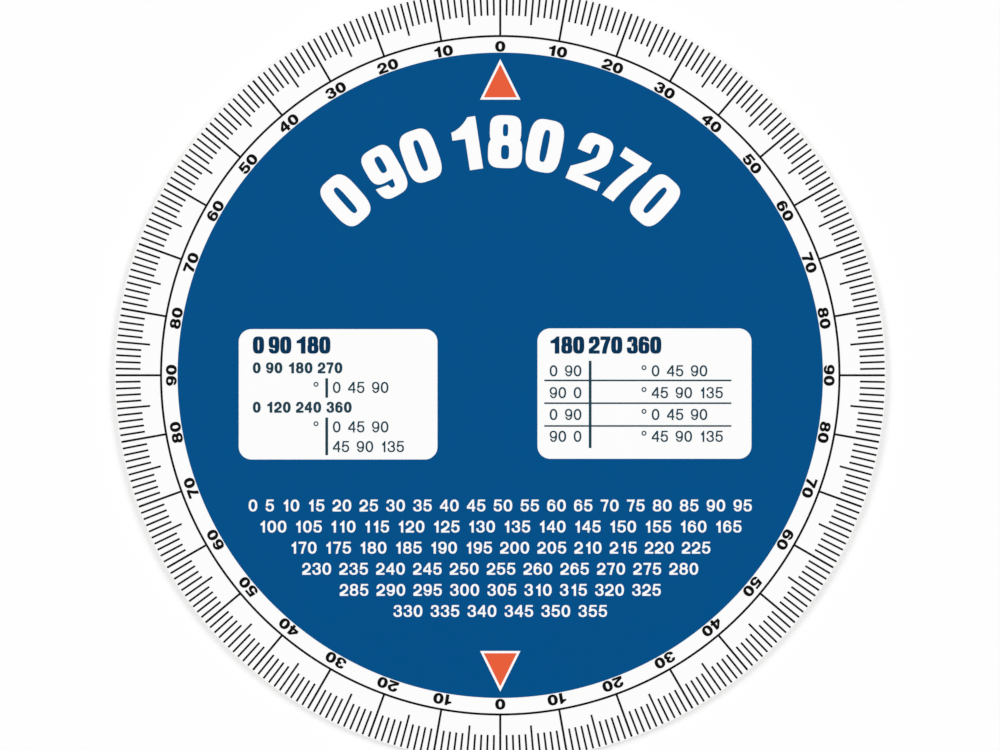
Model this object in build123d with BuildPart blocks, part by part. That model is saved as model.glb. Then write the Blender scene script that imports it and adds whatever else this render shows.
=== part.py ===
"""A degree wheel: a flat printed disc for reading crankshaft angles when an engine is timed.

The wheel lies face up. The origin is the centre of the back face, +Z points out of the printed
face, +Y points to the upper zero of the scale and +X to the right-hand ninety. All sizes are in
millimetres and all angles in degrees.

The build follows the real order of work. A rigid plastic disc is cut out and bored for the
crankshaft, a white film is laid over its front, and the scale is printed on the film in inks
that stand a little proud of it.
"""

import os

from build123d import *

# Rigid disc
disc_diameter = 200.0
backing_thickness = 2.0
rim_edge_radius = 0.3

# Crankshaft hole, open at the back and covered by the film at the front
bore_diameter = 10.0
bore_edge_chamfer = 0.2

# White film and the inks printed on it
film_thickness = 0.15
ink_thickness = 0.05

# Scale lines, which all stop just inside the film's edge and run inwards from there
line_end_margin = 0.2
ten_degree_line_length = 11.74
five_degree_line_length = 8.56
one_degree_line_length = 6.4
bold_line_width = 0.53
fine_line_width = 0.48

# Spacing of the three kinds of line
full_turn = 360
ten_degrees = 10
five_degrees = 5

# White band that carries the numerals, between the ring line and the blue field
numeral_band_width = 4.28

# Zero arrows: an orange triangle with a white outline, its tip set in from the blue field's edge
arrow_height = 8.55
arrow_width = 8.5
arrow_outline_width = 0.62
arrow_tip_inset = 3.0

# Two white panels, left open in the blue field for writing on
panel_height = 33.75
panel_corner_radius = 3.3
ignition_panel_width = 51.45
ignition_panel_centre = (-41.95, -4.92)
timing_panel_width = 55.4
timing_panel_centre = (37.31, -4.74)

# Ignition panel: two upright bars, each placed from the panel's edges
panel_bar_width = 0.68
ignition_bar_from_left = 22.78
short_bar_from_top = 12.73
short_bar_from_bottom = 16.01
long_bar_from_top = 22.89
long_bar_from_bottom = 1.13

# Timing panel: a ruled table, placed from the panel's edges
table_rule_width = 0.4
table_rule_count = 3
table_row_pitch = 5.89
table_from_left = 1.79
table_from_right = 5.21
first_rule_from_top = 13.47
table_bar_from_left = 13.65
table_bar_from_top = 8.39
table_bar_from_bottom = 2.8

# Heights of the layers
film_plane = Plane.XY.offset(backing_thickness)
ink_plane = Plane.XY.offset(backing_thickness + film_thickness)

# Radii, worked inwards from the rim
disc_radius = disc_diameter / 2
film_radius = disc_radius - rim_edge_radius
line_end_radius = film_radius - line_end_margin
ring_line_radius = line_end_radius - ten_degree_line_length
blue_field_radius = ring_line_radius - numeral_band_width
arrow_tip_radius = blue_field_radius - arrow_tip_inset
arrow_base_radius = arrow_tip_radius - arrow_height


def radial_lines(length, width, spacing, first_angle):
    """Straight marks of one length, evenly spaced, which all end at the scale's outer radius."""
    middle_radius = line_end_radius - length / 2
    with PolarLocations(middle_radius, full_turn // spacing, start_angle=first_angle):
        Rectangle(length, width)


def panel_corner(centre, width):
    """The upper left corner of a panel, from which its bars and rules are placed."""
    return centre[0] - width / 2, centre[1] + panel_height / 2


def upright_bar(centre_x, panel_top, from_top, from_bottom):
    """One upright bar, which ends at its own distance from the panel's top and bottom edges."""
    length = panel_height - from_top - from_bottom
    with Locations((centre_x, panel_top - from_top - length / 2)):
        Rectangle(panel_bar_width, length)


# Outline of the upper arrow, its tip pointing out at the zero line
with BuildSketch() as arrow_outline:
    with BuildLine():
        Polyline(
            (0, arrow_tip_radius),
            (-arrow_width / 2, arrow_base_radius),
            (arrow_width / 2, arrow_base_radius),
            close=True,
        )
    make_face()

# The same triangle with its white border, which the blue field leaves open
with BuildSketch() as arrow_window:
    add(arrow_outline.sketch)
    offset(amount=arrow_outline_width, kind=Kind.INTERSECTION)

# Rigid plastic disc with a rounded rim and the crankshaft hole
with BuildPart() as backing_disc:
    with BuildSketch():
        Circle(disc_radius)
    extrude(amount=backing_thickness)
    fillet(backing_disc.edges().filter_by(GeomType.CIRCLE), rim_edge_radius)
    Hole(bore_diameter / 2)
    back_face = backing_disc.faces().sort_by(Axis.Z)[0]
    chamfer(back_face.inner_wires()[0].edges(), bore_edge_chamfer)
backing_disc.part.label = "backing_disc"

# White film, unbroken over the hole, which stops where the rim starts to round off
with BuildPart() as face_film:
    with BuildSketch(film_plane):
        Circle(film_radius)
    extrude(amount=film_thickness)
face_film.part.label = "face_film"

# Blue field, with the panels and the arrows' outlines left open
with BuildPart() as blue_field:
    with BuildSketch(ink_plane):
        Circle(blue_field_radius)
        for centre, width in (
            (ignition_panel_centre, ignition_panel_width),
            (timing_panel_centre, timing_panel_width),
        ):
            with Locations(centre):
                RectangleRounded(width, panel_height, panel_corner_radius, mode=Mode.SUBTRACT)
        add(arrow_window.sketch, mode=Mode.SUBTRACT)
        add(arrow_window.sketch, rotation=180, mode=Mode.SUBTRACT)
    extrude(amount=ink_thickness)
blue_field.part.label = "blue_field"

# Ring line with the ten-degree lines growing out of it, one connected figure
with BuildPart() as scale_ring:
    with BuildSketch(ink_plane):
        Circle(ring_line_radius + bold_line_width / 2)
        Circle(ring_line_radius - bold_line_width / 2, mode=Mode.SUBTRACT)
        radial_lines(ten_degree_line_length, bold_line_width, ten_degrees, 0)
    extrude(amount=ink_thickness)
scale_ring.part.label = "scale_ring"

# Lines half-way between the tens
with BuildPart() as five_degree_lines:
    with BuildSketch(ink_plane):
        radial_lines(five_degree_line_length, fine_line_width, ten_degrees, five_degrees)
    extrude(amount=ink_thickness)
five_degree_lines.part.label = "five_degree_lines"

# Every other degree, as four sets of lines that each step round by five degrees
with BuildPart() as one_degree_lines:
    with BuildSketch(ink_plane):
        for degree in range(1, five_degrees):
            radial_lines(one_degree_line_length, fine_line_width, five_degrees, degree)
    extrude(amount=ink_thickness)
one_degree_lines.part.label = "one_degree_lines"

# Orange arrow at the upper zero
with BuildPart() as upper_zero_arrow:
    with BuildSketch(ink_plane):
        add(arrow_outline.sketch)
    extrude(amount=ink_thickness)
upper_zero_arrow.part.label = "upper_zero_arrow"

# Orange arrow at the lower zero, the same triangle half a turn round the wheel
with BuildPart() as lower_zero_arrow:
    with BuildSketch(ink_plane):
        add(arrow_outline.sketch, rotation=180)
    extrude(amount=ink_thickness)
lower_zero_arrow.part.label = "lower_zero_arrow"

# Upright bars of the ignition panel, the short one beside one row and the long one beside two
with BuildPart() as ignition_panel_bars:
    panel_left, panel_top = panel_corner(ignition_panel_centre, ignition_panel_width)
    with BuildSketch(ink_plane):
        bar_x = panel_left + ignition_bar_from_left
        upright_bar(bar_x, panel_top, short_bar_from_top, short_bar_from_bottom)
        upright_bar(bar_x, panel_top, long_bar_from_top, long_bar_from_bottom)
    extrude(amount=ink_thickness)
ignition_panel_bars.part.label = "ignition_panel_bars"

# Ruled table of the timing panel, level rules crossed by one upright bar
with BuildPart() as timing_panel_table:
    panel_left, panel_top = panel_corner(timing_panel_centre, timing_panel_width)
    with BuildSketch(ink_plane):
        rule_length = timing_panel_width - table_from_left - table_from_right
        rule_middle_x = panel_left + table_from_left + rule_length / 2
        for row in range(table_rule_count):
            rule_y = panel_top - first_rule_from_top - row * table_row_pitch
            with Locations((rule_middle_x, rule_y)):
                Rectangle(rule_length, table_rule_width)
        bar_x = panel_left + table_bar_from_left
        upright_bar(bar_x, panel_top, table_bar_from_top, table_bar_from_bottom)
    extrude(amount=ink_thickness)
timing_panel_table.part.label = "timing_panel_table"

os.makedirs("parts", exist_ok=True)
for piece in (
    backing_disc,
    face_film,
    blue_field,
    scale_ring,
    five_degree_lines,
    one_degree_lines,
    upper_zero_arrow,
    lower_zero_arrow,
    ignition_panel_bars,
    timing_panel_table,
):
    export_step(piece.part, f"parts/{piece.part.label}.step")
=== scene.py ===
"""The looks of the degree wheel: its finer printed pieces, its materials, the light and the camera.

The wheel lies face up on a pale floor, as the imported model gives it: the origin is the centre of
the back face, +Z points out of the face and +Y points to the upper zero. The print is laid out
flat, in millimetres from that centre, and each mesh is turned into metres as it is made.
"""

from collections import namedtuple
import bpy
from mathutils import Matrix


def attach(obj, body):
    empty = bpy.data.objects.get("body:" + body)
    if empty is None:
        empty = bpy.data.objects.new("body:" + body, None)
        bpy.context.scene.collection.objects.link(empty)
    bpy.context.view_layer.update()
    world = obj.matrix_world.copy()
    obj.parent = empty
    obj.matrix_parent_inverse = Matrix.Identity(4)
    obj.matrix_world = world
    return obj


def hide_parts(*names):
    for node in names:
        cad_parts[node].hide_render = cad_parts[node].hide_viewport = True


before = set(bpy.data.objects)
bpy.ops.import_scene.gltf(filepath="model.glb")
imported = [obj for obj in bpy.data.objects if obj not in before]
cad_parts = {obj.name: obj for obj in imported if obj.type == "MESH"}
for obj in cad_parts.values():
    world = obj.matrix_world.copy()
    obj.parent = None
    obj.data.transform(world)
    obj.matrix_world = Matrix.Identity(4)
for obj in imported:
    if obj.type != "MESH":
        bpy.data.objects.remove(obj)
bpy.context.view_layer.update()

from copy import copy
from math import copysign, cos, hypot, pi, radians, sin

import bpy
from mathutils import Vector
from mathutils.geometry import delaunay_2d_cdt

MM = 0.001

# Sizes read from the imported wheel, in millimetres. Corners nearer than this are at the same place.
same_place = 0.001
Extent = namedtuple("Extent", "left bottom right top")


def corners_of(node):
    """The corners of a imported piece."""
    return [vertex.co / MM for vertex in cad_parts[node].data.vertices]


def radii(corners):
    return [hypot(corner.x, corner.y) for corner in corners]


def at_height(corners, height):
    """Those of the corners that lie at one height."""
    return [corner for corner in corners if abs(corner.z - height) < same_place]


def extent(corners):
    across = [corner.x for corner in corners]
    up = [corner.y for corner in corners]
    return Extent(min(across), min(up), max(across), max(up))


# Rigid disc, with its rounded rim and its bore
disc_corners = corners_of("backing_disc")
backing_top = max(corner.z for corner in disc_corners)
disc_radius = max(radii(disc_corners))
rim_edge_radius = disc_radius - max(radii(at_height(disc_corners, backing_top)))
bore_radius = min(radii(disc_corners))
bore_edge_chamfer = min(radii(at_height(disc_corners, 0))) - bore_radius

# Film
film_corners = corners_of("face_film")
film_top = max(corner.z for corner in film_corners)
film_radius = max(radii(film_corners))

# Ring line, and the ten-degree line that ends furthest to the right
ring_corners = corners_of("scale_ring")
ring_inner_radius = min(radii(ring_corners))
line_end_radius = max(corner.x for corner in ring_corners)
line_end = extent([corner for corner in ring_corners if line_end_radius - corner.x < same_place])
bold_line_width = line_end.top - line_end.bottom

# Blue field. Corners well inside its edge belong to its windows: two panels across the middle, and
# two triangles for the arrows, above and below them.
blue_corners = corners_of("blue_field")
ink_top = max(corner.z for corner in blue_corners)
blue_radius = max(radii(blue_corners))
edge_margin = 1
middle_reach = blue_radius / 2
window_reach = blue_radius - edge_margin
window_corners = [corner for corner in blue_corners if hypot(corner.x, corner.y) < window_reach]
panel_corners = [corner for corner in window_corners if abs(corner.y) < middle_reach]
ignition_panel = extent([corner for corner in panel_corners if corner.x < 0])
timing_panel = extent([corner for corner in panel_corners if corner.x > 0])
upper_window = extent([corner for corner in window_corners if corner.y > middle_reach])
left_side = extent([corner for corner in panel_corners if corner.x - ignition_panel.left < same_place])
panel_corner_radius = left_side.bottom - ignition_panel.bottom

# Parts of a turn, in degrees
full_turn = 360
half_turn = 180
quarter_turn = 90
ten_degrees = 10

# Steps round a large circle, round an oval of a numeral, along a bend and round a small edge
turn_steps = 360
numeral_steps = 48
bend_steps = 10
edge_steps = 6


# Flat outlines, each a closed list of points


def oval(x, y, half_width, half_height, squareness=2.0, steps=numeral_steps):
    """A superellipse about (x, y): squareness 2 is an ellipse, and more fills out its corners."""
    power = 2 / squareness
    outline = []
    for step in range(steps):
        angle = 2 * pi * step / steps
        across = copysign(abs(cos(angle)) ** power, cos(angle))
        up = copysign(abs(sin(angle)) ** power, sin(angle))
        outline.append(Vector((x + half_width * across, y + half_height * up)))
    return outline


def circle(radius):
    """A large circle about the wheel's axis."""
    return oval(0, 0, radius, radius, steps=turn_steps)


def polygon(*points):
    return [Vector(point) for point in points]


def rectangle(left, bottom, right, top):
    return polygon((left, bottom), (right, bottom), (right, top), (left, top))


def bend(start, control, end):
    """Points along a quadratic curve, with both of its ends."""
    start, control, end = Vector(start), Vector(control), Vector(end)
    points = []
    for step in range(bend_steps + 1):
        t = step / bend_steps
        points.append(start * (1 - t) ** 2 + control * 2 * t * (1 - t) + end * t**2)
    return points


def quarter_round(centre, radius, first_angle, steps):
    """Points along a quarter of a circle, anticlockwise from its first angle."""
    points = []
    for step in range(steps + 1):
        angle = radians(first_angle + quarter_turn * step / steps)
        points.append(Vector(centre) + radius * Vector((cos(angle), sin(angle))))
    return points


def rounded_rectangle(left, bottom, right, top, radius):
    left, bottom, right, top = left + radius, bottom + radius, right - radius, top - radius
    outline = []
    for number, centre in enumerate(((right, top), (left, top), (left, bottom), (right, bottom))):
        outline += quarter_round(centre, radius, number * quarter_turn, 2 * edge_steps)
    return outline


def anticlockwise(points):
    """The same outline, turned round if it runs clockwise, as the flat net needs."""
    area = sum(a.cross(b) for a, b in zip(points, points[1:] + points[:1]))
    return points if area > 0 else points[::-1]


# Numerals are one unit high. Each function gives named outlines, a rule that says whether a spot
# within some of them holds ink, and the numeral's width. A bare number is a height, or a share of
# the letter that it multiplies: w is the numeral's width, s its upright and b its level stroke.


class Style:
    """The look of some numerals: their height in millimetres and, in shares of that height, the
    width of a zero, its upright and level strokes and the gaps after a numeral and a word.
    Squareness is that of the round outlines.
    """

    def __init__(self, height, width, stem, bar, squareness, gap, word_gap=0.0):
        self.height = height
        self.width = width
        self.stem = stem
        self.bar = bar
        self.squareness = squareness
        self.gap = gap
        self.word_gap = word_gap

    def slimmed(self, width, stem, bar):
        """The style of a numeral that is drawn narrower and lighter than the zero, by these shares."""
        slim = copy(self)
        slim.width *= width
        slim.stem *= stem
        slim.bar *= bar
        return slim


def loop(style, bottom, top, share=1.0):
    """Outer and inner outlines of a round stroke between two heights, at a share of full width."""
    x, y = style.width / 2, (bottom + top) / 2
    half_width, half_height = share * style.width / 2, (top - bottom) / 2
    outer = oval(x, y, half_width, half_height, style.squareness)
    inner = oval(x, y, half_width - style.stem, half_height - style.bar, style.squareness)
    return outer, inner


def zero(style):
    outer, inner = loop(style, 0, 1)
    return {"outer": outer, "inner": inner}, lambda within: "inner" not in within, style.width


def one(style):
    """A one, which keeps an empty strip at its left so that it doesn't crowd what is there."""
    stem = 0.96 * style.stem
    tip = style.gap
    left = tip + 0.95 * stem
    right = left + stem
    flag_bottom, flag_top = 0.6, 0.755
    outline = polygon((tip, flag_bottom), (left, flag_bottom), (left, 0), (right, 0), (right, 1))
    outline += bend((right - 0.6 * stem, 1), (tip + 0.76 * stem, 0.8), (tip, flag_top))
    return {"figure": outline}, bool, right


def two(style):
    style = style.slimmed(width=0.97, stem=0.96, bar=0.93)
    w, s, b = style.width, style.stem, style.bar
    arch_bottom, shoulder = 0.2, 0.6
    outer, inner = loop(style, arch_bottom, 1)
    neck = bend((w - s, shoulder), (w - s, 0.54), (0, 0.25)) + polygon((0, 0), (0.4 * w, 0))
    neck += bend((0.43 * w, b), (w, 0.46), (w, shoulder))
    outlines = {
        "outer": outer,
        "inner": inner,
        "below": rectangle(-1, -1, 2, shoulder),
        "neck": neck,
        "foot": rectangle(0, 0, w, b),
    }

    def rule(within):
        arch = "outer" in within and not within & {"inner", "below"}
        return arch or bool(within & {"neck", "foot"})

    return outlines, rule, w


def three(style):
    """An eight that is cut open at its left side."""
    outlines, in_eight, w = eight(style)
    mouth_bottom, mouth_top = 0.36, 0.68
    outlines["mouth"] = rectangle(-1, mouth_bottom, 0.43 * w, mouth_top)
    return outlines, lambda within: in_eight(within) and "mouth" not in within, w


def four(style):
    style = style.slimmed(width=0.97, stem=0.92, bar=0.92)
    w, s, b = style.width, style.stem, style.bar
    right = 0.86 * w
    left = right - 0.95 * s
    arm, eye_top = 0.23, 0.74
    outlines = {
        "stem": rectangle(left, 0, right, 1),
        "arm": rectangle(0, arm, w, arm + b),
        "slope": polygon((0, arm), (left, arm), (left, 1), (0, arm + 1.3 * b)),
        "eye": polygon((s, arm + b), (left, arm + b), (left, eye_top)),
    }

    def rule(within):
        return bool(within & {"stem", "arm", "slope"}) and "eye" not in within

    return outlines, rule, w


# Top of the bowl that a five and a six stand on, and that a nine hangs from
bowl_top = 0.68


def five(style):
    style = style.slimmed(width=0.97, stem=0.95, bar=0.91)
    w, s, b = style.width, style.stem, style.bar
    back_width, back_top, back_foot, foot_height = 0.9 * s, 0.14 * w, 0.03 * w, 0.47
    mouth_bottom, mouth_top = 0.32, 0.43
    outer, inner = loop(style, 0, bowl_top)
    outlines = {
        "outer": outer,
        "inner": inner,
        "mouth": rectangle(-1, mouth_bottom, w / 2, mouth_top),
        "head": rectangle(back_top, 1 - b, 0.96 * w, 1),
        "back": polygon(
            (back_top, 1),
            (back_top + back_width, 1),
            (back_foot + back_width, foot_height),
            (back_foot, foot_height),
        ),
    }

    def rule(within):
        bowl = "outer" in within and not within & {"inner", "mouth"}
        return bowl or "head" in within or ("back" in within and "inner" not in within)

    return outlines, rule, w


def six(style):
    style = style.slimmed(width=0.96, stem=0.94, bar=0.88)
    w = style.width
    outer, inner = loop(style, 0, 1)
    bowl, eye = loop(style, 0, bowl_top)
    outlines = {
        "outer": outer,
        "inner": inner,
        "bowl": bowl,
        "eye": eye,
        "mouth": polygon((w / 2, 0.3), (2, 0.3), (2, 0.66), (w, 0.7), (w / 2, 0.75)),
    }

    def rule(within):
        hook = "outer" in within and not within & {"inner", "mouth"}
        return (hook or "bowl" in within) and "eye" not in within

    return outlines, rule, w


def seven(style):
    style = style.slimmed(width=0.89, stem=0.94, bar=0.92)
    w, s, b = style.width, style.stem, style.bar
    foot, knee = 0.6 * w, 0.68 * w
    leg = bend((w, 1 - b), (knee, 0.43), (foot, 0))
    leg += bend((foot - s, 0), (knee - s, 0.43), (w - s, 1 - b))
    return {"head": rectangle(0, 1 - 1.14 * b, w, 1), "leg": leg}, bool, w


def eight(style):
    """Two loops, one above the other, which share the stroke at the waist."""
    style = style.slimmed(width=0.98, stem=0.94, bar=0.86)
    waist, upper_share = 0.52, 0.92
    upper, upper_eye = loop(style, waist - style.bar / 2, 1, upper_share)
    lower, lower_eye = loop(style, 0, waist + style.bar / 2)
    outlines = {"upper": upper, "upper eye": upper_eye, "lower": lower, "lower eye": lower_eye}

    def rule(within):
        return bool(within & {"upper", "lower"}) and not within & {"upper eye", "lower eye"}

    return outlines, rule, style.width


def nine(style):
    """A six turned upside down."""
    outlines, rule, w = six(style)
    for name, points in outlines.items():
        outlines[name] = [Vector((w - p.x, 1 - p.y)) for p in points]
    return outlines, rule, w


def degree_sign(style):
    radius = 0.22
    inner_radius = radius - 0.67 * style.stem
    outer = oval(radius, 1 - radius, radius, radius)
    inner = oval(radius, 1 - radius, inner_radius, inner_radius)
    return {"outer": outer, "inner": inner}, lambda within: "inner" not in within, 2 * radius


numerals = (zero, one, two, three, four, five, six, seven, eight, nine, degree_sign)
drawn = dict(zip("0123456789°", numerals))

# What the straight side of a one needs beyond the usual gap
extra_gap = {"1": 0.07}


def line_of(text, style):
    """The numerals of a line with the left edge and width of each, and the line's whole width."""
    placed = []
    left = right = 0
    for mark in text:
        if mark == " ":
            left += style.word_gap
            continue
        outlines, rule, width = drawn[mark](style)
        placed.append((outlines, rule, left, width))
        right = left + width
        left = right + style.gap + extra_gap.get(mark, 0)
    return placed, right


# Places on the face: each gives a function from (x, y) beside the place's own foot to the face


def on_circle(radius, angle):
    """A foot on a circle, at an angle clockwise from the upper zero, with its top outwards."""
    outwards = Vector((sin(radians(angle)), cos(radians(angle))))
    along = Vector((outwards.y, -outwards.x))
    return lambda x, y: outwards * (radius + y) + along * x


def upright(x, y):
    """A foot for upright text."""
    return lambda across, up: Vector((x + across, y + up))


class Layout:
    """Print that is cut out of one flat net of triangles."""

    def __init__(self):
        self.outlines = {}
        self.rules = []

    def add(self, outlines, rule=bool, place=Vector, scale=1.0, shift=0.0):
        """One figure. Its points are shifted along x, scaled and put in their place."""
        figure = len(self.rules)
        self.rules.append(rule)
        for name, points in outlines.items():
            moved = [place((p.x + shift) * scale, p.y * scale) for p in points]
            self.outlines[figure, name] = anticlockwise(moved)

    def add_shape(self, outline):
        """One figure that is a single outline, already in its place."""
        self.add({"shape": outline}, place=upright(0, 0))

    def add_text(self, text, style, place, align=0.5):
        """A line of numerals. The place's foot is at its left end, or a share of the way along."""
        placed, width = line_of(text, style)
        for outlines, rule, left, _ in placed:
            self.add(outlines, rule, place, style.height, left - align * width)

    def add_arched_text(self, text, style, radius, half_angle):
        """Numerals that stand one by one on an arc about the upper zero."""
        placed, width = line_of(text, style)
        for outlines, rule, left, own_width in placed:
            angle = (2 * left + own_width - width) / (width - style.width) * half_angle
            self.add(outlines, rule, on_circle(radius, angle), style.height, -own_width / 2)

    def add_table(self, rows, first_foot, pitch, columns):
        """Rows of cells from the top down. A column gives its left end and the style of its cells."""
        for row, cells in enumerate(rows):
            for cell, (x, style) in zip(cells, columns):
                self.add_text(cell, style, upright(x, first_foot - row * pitch), align=0)

    def net(self, keep=bool):
        """The net's corners, and the triangles whose figures with ink are as keep wants them."""
        names = list(self.outlines)
        points = []
        loops = []
        for name in names:
            loops.append(range(len(points), len(points) + len(self.outlines[name])))
            points += self.outlines[name]
        inside_only, tolerance = 1, 1e-5
        corners, _, triangles, _, _, holders = delaunay_2d_cdt(points, [], loops, inside_only, tolerance)
        kept = []
        for triangle, holder in zip(triangles, holders):
            if keep(self.inked(names[index] for index in holder)):
                kept.append(triangle)
        return corners, kept

    def inked(self, names):
        """Numbers of the figures that hold ink at a spot inside the named outlines."""
        within = {}
        for figure, name in names:
            within.setdefault(figure, set()).add(name)
        return [figure for figure, inside in within.items() if self.rules[figure](inside)]


# Meshes


def mesh_piece(name, corners, faces, material):
    """A piece of the wheel from corners in millimetres."""
    mesh = bpy.data.meshes.new(name)
    mesh.from_pydata([Vector(corner) * MM for corner in corners], [], faces)
    mesh.materials.append(material)
    mesh.validate()
    piece = bpy.data.objects.new(name, mesh)
    bpy.context.scene.collection.objects.link(piece)
    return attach(piece, "root")


def printed(name, net, bottom, top, material):
    """A closed solid over a flat net: its top, its bottom and the walls round its edges."""
    points, triangles = net
    used = sorted({index for triangle in triangles for index in triangle})
    place = {index: number for number, index in enumerate(used)}
    count = len(used)
    corners = [(points[index].x, points[index].y, bottom) for index in used]
    corners += [(points[index].x, points[index].y, top) for index in used]
    faces = []
    edges = set()
    for triangle in triangles:
        a, b, c = (place[index] for index in triangle)
        faces.append((a + count, b + count, c + count))
        faces.append((c, b, a))
        edges |= {(a, b), (b, c), (c, a)}
    for a, b in edges:
        if (b, a) not in edges:
            faces.append((a, b, b + count, a + count))
    return mesh_piece(name, corners, faces, material)


def turned(name, profile, material):
    """A solid turned about the wheel's axis from a closed profile of (radius, height)."""
    rows = len(profile)
    corners = []
    faces = []
    for step in range(turn_steps):
        angle = 2 * pi * step / turn_steps
        corners += [(radius * cos(angle), radius * sin(angle), height) for radius, height in profile]
        here = step * rows
        there = (step + 1) % turn_steps * rows
        for row in range(rows):
            after = (row + 1) % rows
            faces.append((here + row, there + row, there + after, here + after))
    piece = mesh_piece(name, corners, faces, material)
    piece.data.shade_smooth()
    sharpest_smooth_bend = radians(30)
    piece.data.set_sharp_from_angle(angle=sharpest_smooth_bend)
    return piece


# Materials


class Surface:
    """A material's node tree, with short ways to add what its texture needs."""

    def __init__(self, name, colour, roughness, specular):
        self.material = bpy.data.materials.new(name)
        self.material.use_nodes = True
        self.nodes = self.material.node_tree.nodes
        self.links = self.material.node_tree.links
        self.shader = self.nodes["Principled BSDF"]
        self.colour = colour
        self.shader.inputs["Base Color"].default_value = (*colour, 1)
        self.shader.inputs["Roughness"].default_value = roughness
        self.shader.inputs["Specular IOR Level"].default_value = specular
        self.roughness = roughness
        self.place = self.nodes.new("ShaderNodeTexCoord").outputs["Object"]
        self.bump_normal = None

    def noise(self, size_mm):
        """Soft noise whose blotches are about this large, from 0 to 1."""
        node = self.nodes.new("ShaderNodeTexNoise")
        node.inputs["Scale"].default_value = 1 / (size_mm * MM)
        node.inputs["Detail"].default_value = 3
        self.links.new(self.place, node.inputs["Vector"])
        return node.outputs["Fac"]

    def spread(self, value, low, high):
        """The middle of a noise, stretched to run from low to high."""
        node = self.nodes.new("ShaderNodeMapRange")
        node.inputs["From Min"].default_value = 0.3
        node.inputs["From Max"].default_value = 0.7
        node.inputs["To Min"].default_value = low
        node.inputs["To Max"].default_value = high
        self.links.new(value, node.inputs["Value"])
        return node.outputs["Result"]

    def mottle(self, size_mm, amount):
        """Colour that drifts by an amount up and down, over blotches of one size."""
        strength = self.spread(self.noise(size_mm), 1 - amount, 1 + amount)
        scale = self.nodes.new("ShaderNodeVectorMath")
        scale.operation = "SCALE"
        linked = self.shader.inputs["Base Color"].links
        if linked:
            self.links.new(linked[0].from_socket, scale.inputs[0])
        else:
            scale.inputs[0].default_value = self.colour
        self.links.new(strength, scale.inputs["Scale"])
        self.links.new(scale.outputs["Vector"], self.shader.inputs["Base Color"])

    def uneven_gloss(self, size_mm, amount):
        gloss = self.spread(self.noise(size_mm), self.roughness - amount, self.roughness + amount)
        self.links.new(gloss, self.shader.inputs["Roughness"])

    def bump(self, height, depth_mm):
        """Relief from a height between 0 and 1, added to what is there already."""
        node = self.nodes.new("ShaderNodeBump")
        node.inputs["Distance"].default_value = depth_mm * MM
        self.links.new(height, node.inputs["Height"])
        if self.bump_normal:
            self.links.new(self.bump_normal, node.inputs["Normal"])
        self.bump_normal = node.outputs["Normal"]
        self.links.new(self.bump_normal, self.shader.inputs["Normal"])


def white_film():
    """Satin printed film: nearly even white, with the faint ripple of a film laid on plastic."""
    film = Surface("white_film", (0.968, 0.97, 0.967), roughness=0.38, specular=0.3)
    film.mottle(size_mm=25, amount=0.004)
    film.mottle(size_mm=0.5, amount=0.003)
    film.uneven_gloss(size_mm=6, amount=0.05)
    film.bump(film.noise(size_mm=2.2), depth_mm=0.008)
    film.bump(film.noise(size_mm=0.35), depth_mm=0.001)
    return film.material


def ink(name, colour, drift):
    """Printing ink that dries nearly matt, a little denser here and there."""
    layer = Surface(name, colour, roughness=0.45, specular=0.03)
    layer.mottle(size_mm=18, amount=drift)
    layer.mottle(size_mm=0.45, amount=drift)
    layer.uneven_gloss(size_mm=3, amount=0.06)
    layer.bump(layer.noise(size_mm=0.3), depth_mm=0.003)
    return layer.material


def backing_plastic():
    """Rigid white sheet: a fine grain, and faint upright marks where its round edge was cut."""
    sheet = Surface("backing_plastic", (0.9, 0.9, 0.885), roughness=0.5, specular=0.4)
    sheet.mottle(size_mm=12, amount=0.01)
    sheet.mottle(size_mm=0.6, amount=0.008)
    sheet.uneven_gloss(size_mm=4, amount=0.06)
    sheet.bump(sheet.noise(size_mm=0.25), depth_mm=0.006)
    mark_size_mm, mark_stretch = 0.4, 50
    stretched = sheet.nodes.new("ShaderNodeMapping")
    stretched.inputs["Scale"].default_value = (1, 1, 1 / mark_stretch)
    sheet.links.new(sheet.place, stretched.inputs["Vector"])
    marks = sheet.nodes.new("ShaderNodeTexNoise")
    marks.inputs["Scale"].default_value = 1 / (mark_size_mm * MM)
    sheet.links.new(stretched.outputs["Vector"], marks.inputs["Vector"])
    sheet.bump(marks.outputs["Fac"], depth_mm=0.01)
    return sheet.material


# Finishes of the disc, the film and the inks
film_finish = white_film()
plastic_finish = backing_plastic()
blue_ink = ink("blue_ink", (0.0, 0.0782, 0.2462), drift=0.012)
black_ink = ink("black_ink", (0.0035, 0.0035, 0.0035), drift=0.1)
navy_ink = ink("navy_ink", (0.0012, 0.0319, 0.0887), drift=0.05)
slate_ink = ink("slate_ink", (0.0116, 0.0482, 0.0762), drift=0.05)
orange_ink = ink("orange_ink", (0.8, 0.112, 0.043), drift=0.012)

# Rigid disc, with its rounded rim and its crankshaft hole
edge_support = 0.05
flat_reach = disc_radius - rim_edge_radius
disc_profile = [(bore_radius, bore_edge_chamfer), (bore_radius + bore_edge_chamfer, 0)]
disc_profile.append((flat_reach - edge_support, 0))
for first_angle, height in ((-quarter_turn, rim_edge_radius), (0, backing_top - rim_edge_radius)):
    disc_profile += quarter_round((flat_reach, height), rim_edge_radius, first_angle, edge_steps)
disc_profile += [(flat_reach - edge_support, backing_top), (bore_radius, backing_top)]
rigid_disc = turned("rigid_disc", disc_profile, plastic_finish)
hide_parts("backing_disc")

# White film on its face
film = Layout()
film.add_shape(circle(film_radius))
printed_film = printed("printed_film", film.net(), backing_top, film_top, film_finish)
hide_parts("face_film")

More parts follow.
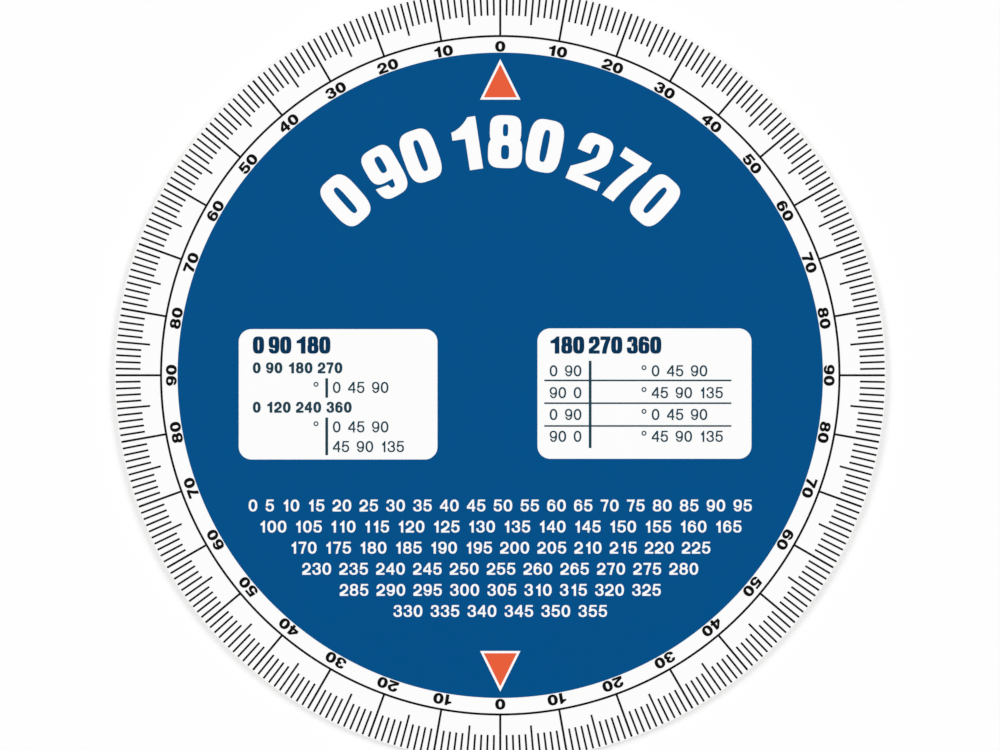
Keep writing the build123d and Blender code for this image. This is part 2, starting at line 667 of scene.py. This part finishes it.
# Styles of numeral on the wheel, from the scale's to those in the panels
dial_style = Style(height=2.8, width=0.938, stem=0.319, bar=0.223, squareness=2.2, gap=0.105)
banner_style = Style(
    height=13.7, width=0.66, stem=0.265, bar=0.195, squareness=3.4, gap=0.045, word_gap=0.16
)
list_style = Style(
    height=3.1, width=0.73, stem=0.2, bar=0.165, squareness=2.3, gap=0.13, word_gap=0.55
)
heading_style = Style(
    height=4.45, width=0.65, stem=0.275, bar=0.2, squareness=3.2, gap=0.045, word_gap=0.22
)
label_style = Style(
    height=2.85, width=0.7, stem=0.245, bar=0.205, squareness=2.3, gap=0.11, word_gap=0.38
)
entry_style = Style(
    height=2.9, width=0.68, stem=0.15, bar=0.14, squareness=2.2, gap=0.13, word_gap=0.55
)

# Blue field. The film shows where any other figure lies on it: panels, arrow windows and numerals.
banner_radius = 53.6
banner_half_angle = 41.5
list_first_foot = -35.24
list_row_pitch = 5.46
list_row_counts = (20, 14, 12, 11, 9, 6)
list_step = 5

blue = Layout()
blue.add_shape(circle(blue_radius))
for panel in (ignition_panel, timing_panel):
    blue.add_shape(rounded_rectangle(*panel, panel_corner_radius))
left, base, right, tip = upper_window
for side in (1, -1):
    blue.add_shape(polygon((left, side * base), (right, side * base), (0, side * tip)))
blue.add_arched_text("0 90 180 270", banner_style, banner_radius, banner_half_angle)
list_values = iter(range(0, full_turn, list_step))
for row, count in enumerate(list_row_counts):
    values = " ".join(str(next(list_values)) for _ in range(count))
    blue.add_text(values, list_style, upright(0, list_first_foot - row * list_row_pitch))
first_figure_alone = [0]
blue_net = blue.net(lambda figures: figures == first_figure_alone)
blue_print = printed("blue_print", blue_net, film_top, ink_top, blue_ink)
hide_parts("blue_field")

# Ring line with the ten-degree lines
tens_count = full_turn // ten_degrees
ring_outer_radius = ring_inner_radius + bold_line_width
ring_middle_radius = ring_inner_radius + bold_line_width / 2
half_line = bold_line_width / 2
graduation = Layout()
graduation.add(
    {"outside": circle(ring_outer_radius), "inside": circle(ring_inner_radius)},
    lambda within: "inside" not in within,
    upright(0, 0),
)
ten_degree_line = rectangle(-half_line, ring_middle_radius, half_line, line_end_radius)
for number in range(tens_count):
    graduation.add({"line": ten_degree_line}, place=on_circle(0, number * ten_degrees))
ring_and_tens = printed("ring_and_tens", graduation.net(), film_top, ink_top, black_ink)
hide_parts("scale_ring")

# Numerals of the scale, which count from both zeros to ninety at each side
gap_to_blue = 0.22
dial = Layout()
for number in range(tens_count):
    angle = number * ten_degrees
    from_zero = min(angle % half_turn, half_turn - angle % half_turn)
    dial.add_text(str(from_zero), dial_style, on_circle(blue_radius + gap_to_blue, angle))
printed("scale_numerals", dial.net(), film_top, ink_top, black_ink)

# Headings of the two panels
ignition_text_x = -64.0
timing_text_x = 12.8
heading_foot = 5.6
headings = Layout()
for x, text in ((ignition_text_x, "0 90 180"), (timing_text_x, "180 270 360")):
    headings.add_text(text, heading_style, upright(x, heading_foot), align=0)
printed("panel_headings", headings.net(), film_top, ink_top, navy_ink)

# Labels, degree signs and entries under the headings
ignition_rows = (
    ("0 90 180 270", "", ""),
    ("", "°", "0 45 90"),
    ("0 120 240 360", "", ""),
    ("", "°", "0 45 90"),
    ("", "", "45 90 135"),
)
timing_rows = (
    ("0 90", "°", "0 45 90"),
    ("90 0", "°", "45 90 135"),
    ("0 90", "°", "0 45 90"),
    ("90 0", "°", "45 90 135"),
)
ignition_sign_x, ignition_entry_x = -48.3, -43.3
timing_sign_x, timing_entry_x = 36.55, 39.2
ignition_columns = (
    (ignition_text_x, label_style),
    (ignition_sign_x, entry_style),
    (ignition_entry_x, entry_style),
)
timing_columns = (
    (timing_text_x, entry_style),
    (timing_sign_x, entry_style),
    (timing_entry_x, entry_style),
)
panels = Layout()
panels.add_table(ignition_rows, first_foot=0.5, pitch=5.1, columns=ignition_columns)
panels.add_table(timing_rows, first_foot=-0.3, pitch=5.65, columns=timing_columns)
printed("panel_numerals", panels.net(), film_top, ink_top, slate_ink)

# Inks of the pieces that stay as they were packed
for node, finish in (
    ("five_degree_lines", black_ink),
    ("one_degree_lines", black_ink),
    ("upper_zero_arrow", orange_ink),
    ("lower_zero_arrow", orange_ink),
    ("ignition_panel_bars", slate_ink),
    ("timing_panel_table", slate_ink),
):
    for material_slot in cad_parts[node].material_slots:
        material_slot.material = finish


# Studio


def white_to_camera(owner):
    """One for rays from the camera, a mirror or glass, for a background that looks white."""
    nodes, links = owner.node_tree.nodes, owner.node_tree.links
    path = nodes.new("ShaderNodeLightPath")
    seen = path.outputs["Is Camera Ray"]
    for other in ("Is Glossy Ray", "Is Transmission Ray"):
        either = nodes.new("ShaderNodeMath")
        either.operation = "MAXIMUM"
        links.new(seen, either.inputs[0])
        links.new(path.outputs[other], either.inputs[1])
        seen = either.outputs[0]
    return seen


# Light from all round, and its level: at one, a colour renders as it is written
sky_level = 0.62
lamp_level = (1 - sky_level) / 2
world = bpy.data.worlds.new("studio")
bpy.context.scene.world = world
world.use_nodes = True
sky = world.node_tree.nodes["Background"]
sky_strength = world.node_tree.nodes.new("ShaderNodeMapRange")
sky_strength.inputs["To Min"].default_value = sky_level
sky_strength.inputs["To Max"].default_value = 1
world.node_tree.links.new(white_to_camera(world), sky_strength.inputs["Value"])
world.node_tree.links.new(sky_strength.outputs["Result"], sky.inputs["Strength"])
sky.inputs["Color"].default_value = (1, 1, 1, 1)

# Two broad lamps, left and right of the wheel and a little above it in the picture
lamp_elevation = radians(50)
lamp_breadth = radians(30)
for name, azimuth in (("left_lamp", radians(160)), ("right_lamp", radians(20))):
    lamp = bpy.data.lights.new(name, "SUN")
    lamp.energy = pi * lamp_level / sin(lamp_elevation)
    lamp.angle = lamp_breadth
    lamp_object = bpy.data.objects.new(name, lamp)
    bpy.context.scene.collection.objects.link(lamp_object)
    towards = Vector((cos(azimuth), sin(azimuth), 0)) * cos(lamp_elevation)
    towards.z = sin(lamp_elevation)
    lamp_object.rotation_euler = towards.to_track_quat("Z", "Y").to_euler()

# Pale floor, whiter to the camera than to the light that it throws back
floor_reach = 30
floor_corners = rectangle(-floor_reach, -floor_reach, floor_reach, floor_reach)
floor_mesh = bpy.data.meshes.new("floor")
floor_mesh.from_pydata([corner.to_3d() for corner in floor_corners], [], [(0, 1, 2, 3)])
floor = bpy.data.objects.new("floor", floor_mesh)
bpy.context.scene.collection.objects.link(floor)
floor_colour = (0.9, 0.9, 0.9)
floor_colour_seen = (0.99, 0.99, 0.99)
floor_finish = Surface("floor", floor_colour, roughness=0.9, specular=0.0)
floor_tone = floor_finish.nodes.new("ShaderNodeMix")
floor_tone.data_type = "RGBA"
floor_finish.links.new(white_to_camera(floor_finish.material), floor_tone.inputs["Factor"])
floor_tone.inputs["A"].default_value = (*floor_colour, 1)
floor_tone.inputs["B"].default_value = (*floor_colour_seen, 1)
floor_finish.links.new(floor_tone.outputs["Result"], floor_finish.shader.inputs["Base Color"])
floor_mesh.materials.append(floor_finish.material)

# Camera straight above the wheel, at the photograph's scale
picture_width, picture_height = 1000, 750
axis_in_picture = (500.25, 375.27)
pixels_per_mm = 3.8653
camera = bpy.data.cameras.new("camera")
camera.lens = 100
camera.sensor_width = 36
camera_object = bpy.data.objects.new("camera", camera)
bpy.context.scene.collection.objects.link(camera_object)
camera_height = picture_width * camera.lens / (camera.sensor_width * pixels_per_mm)
camera_object.location = (
    (picture_width / 2 - axis_in_picture[0]) / pixels_per_mm * MM,
    (axis_in_picture[1] - picture_height / 2) / pixels_per_mm * MM,
    (ink_top + camera_height) * MM,
)
bpy.context.scene.camera = camera_object
bpy.context.scene.view_settings.view_transform = "Standard"
